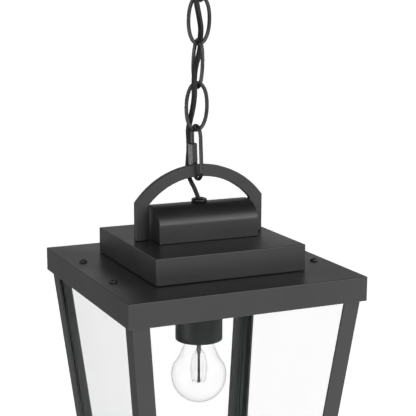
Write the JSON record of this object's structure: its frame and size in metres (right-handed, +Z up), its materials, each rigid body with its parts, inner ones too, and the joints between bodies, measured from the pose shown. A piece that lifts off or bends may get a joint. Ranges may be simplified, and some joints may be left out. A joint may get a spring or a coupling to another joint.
{
  "type": "hanging lantern",
  "caption": "Hanging lantern: two-step square roof under an arched handle, quick link and oval chain to a ceiling canopy, four tapered glass sides and one lamp.",
  "frame": {"origin": "centre of the ceiling canopy's rim, in the plane of the ceiling", "axes": "+Z up, +X along the lantern's front edge to its right, +Y from the front towards the back"},
  "size_m": [0.254, 0.254, 0.682],
  "materials": {
    "black_metal": "satin black powder coat",
    "zinc_steel": "bright zinc plate",
    "lamp_brass": "bare lamp-base brass",
    "clear_glass": "clear float glass",
    "bulb_glass": "clear blown glass",
    "cord_jacket": "matt black insulation",
    "gland_rubber": "matt black moulded rubber",
    "socket_ceramic": "glazed white ceramic"
  },
  "bodies": {
    "ceiling_mount": {"mounting_crossbar": "zinc_steel", "canopy_nipple": "zinc_steel", "nipple_locknut": "zinc_steel", "canopy_loop": "black_metal"},
    "canopy_cover": {"ceiling_canopy": "black_metal", "canopy_collar": "black_metal"},
    "link_3": {"chain_link_3": "black_metal", "cord_5": "cord_jacket"},
    "link_2": {"chain_link_2": "black_metal", "cord_4": "cord_jacket"},
    "link_1": {"chain_link_1": "black_metal", "cord_3": "cord_jacket"},
    "quick_link": {"quick_link": "black_metal", "cord_2": "cord_jacket"},
    "sleeve": {"quick_link_sleeve": "black_metal"},
    "lantern": {"arch_handle": "black_metal", "handle_screw_1": "zinc_steel", "handle_screw_2": "zinc_steel", "barrel_hood": "black_metal", "hood_end_1": "black_metal", "hood_end_2": "black_metal", "cord_gland": "gland_rubber", "gland_nut": "black_metal", "roof_upper_step": "black_metal", "roof_lower_step": "black_metal", "roof_screw_1": "black_metal", "roof_screw_2": "black_metal", "roof_screw_3": "black_metal", "roof_screw_4": "black_metal", "top_frame": "black_metal", "corner_post_1": "black_metal", "corner_post_2": "black_metal", "corner_post_3": "black_metal", "corner_post_4": "black_metal", "glass_front": "clear_glass", "glass_right": "clear_glass", "glass_back": "clear_glass", "glass_left": "clear_glass", "foot_frame": "black_metal", "socket_strap": "zinc_steel", "strap_screw_1": "zinc_steel", "strap_screw_2": "zinc_steel", "stem": "zinc_steel", "stem_nut": "zinc_steel", "socket_cup": "black_metal", "lamp_socket": "socket_ceramic", "inner_lead": "cord_jacket", "cord_1": "cord_jacket"},
    "lamp": {"lamp_base": "lamp_brass", "lamp_bulb": "bulb_glass"}
  },
  "joints": [
    {"name": "canopy_drop", "type": "slide", "parent": "ceiling_mount", "child": "canopy_cover", "axis": [0, 0, -1], "range_m": [0, 0.01]},
    {"name": "link_3_swing", "type": "hinge", "parent": "ceiling_mount", "child": "link_3", "pos_m": [0, 0, -0.06258], "axis": [0, 1, 0], "range_deg": [-20, 20], "deforming": ["cord_5"]},
    {"name": "link_2_swing", "type": "hinge", "parent": "link_3", "child": "link_2", "pos_m": [-0.00132, 0, -0.10607], "axis": [1, 0, 0], "range_deg": [-20, 20], "deforming": ["cord_4"]},
    {"name": "link_1_swing", "type": "hinge", "parent": "link_2", "child": "link_1", "pos_m": [-0.00252, 0, -0.14975], "axis": [0, 1, 0], "range_deg": [-20, 20], "deforming": ["cord_3"]},
    {"name": "quick_link_swing", "type": "hinge", "parent": "link_1", "child": "quick_link", "pos_m": [-0.00373, 0, -0.19343], "axis": [1, 0, 0], "range_deg": [-20, 20], "deforming": ["cord_2"]},
    {"name": "lantern_swing", "type": "hinge", "parent": "quick_link", "child": "lantern", "pos_m": [-0.0018, 0, -0.2443], "axis": [0, 1, 0], "range_deg": [-15, 15], "deforming": ["cord_1"]},
    {"name": "sleeve_travel", "type": "slide", "parent": "quick_link", "child": "sleeve", "axis": [-0.0349, 0, 0.9994], "range_m": [0, 0.0085]},
    {"name": "lamp_withdrawal", "type": "slide", "parent": "lantern", "child": "lamp", "axis": [0, 0, -1], "range_m": [0, 0.028]}
  ]
}
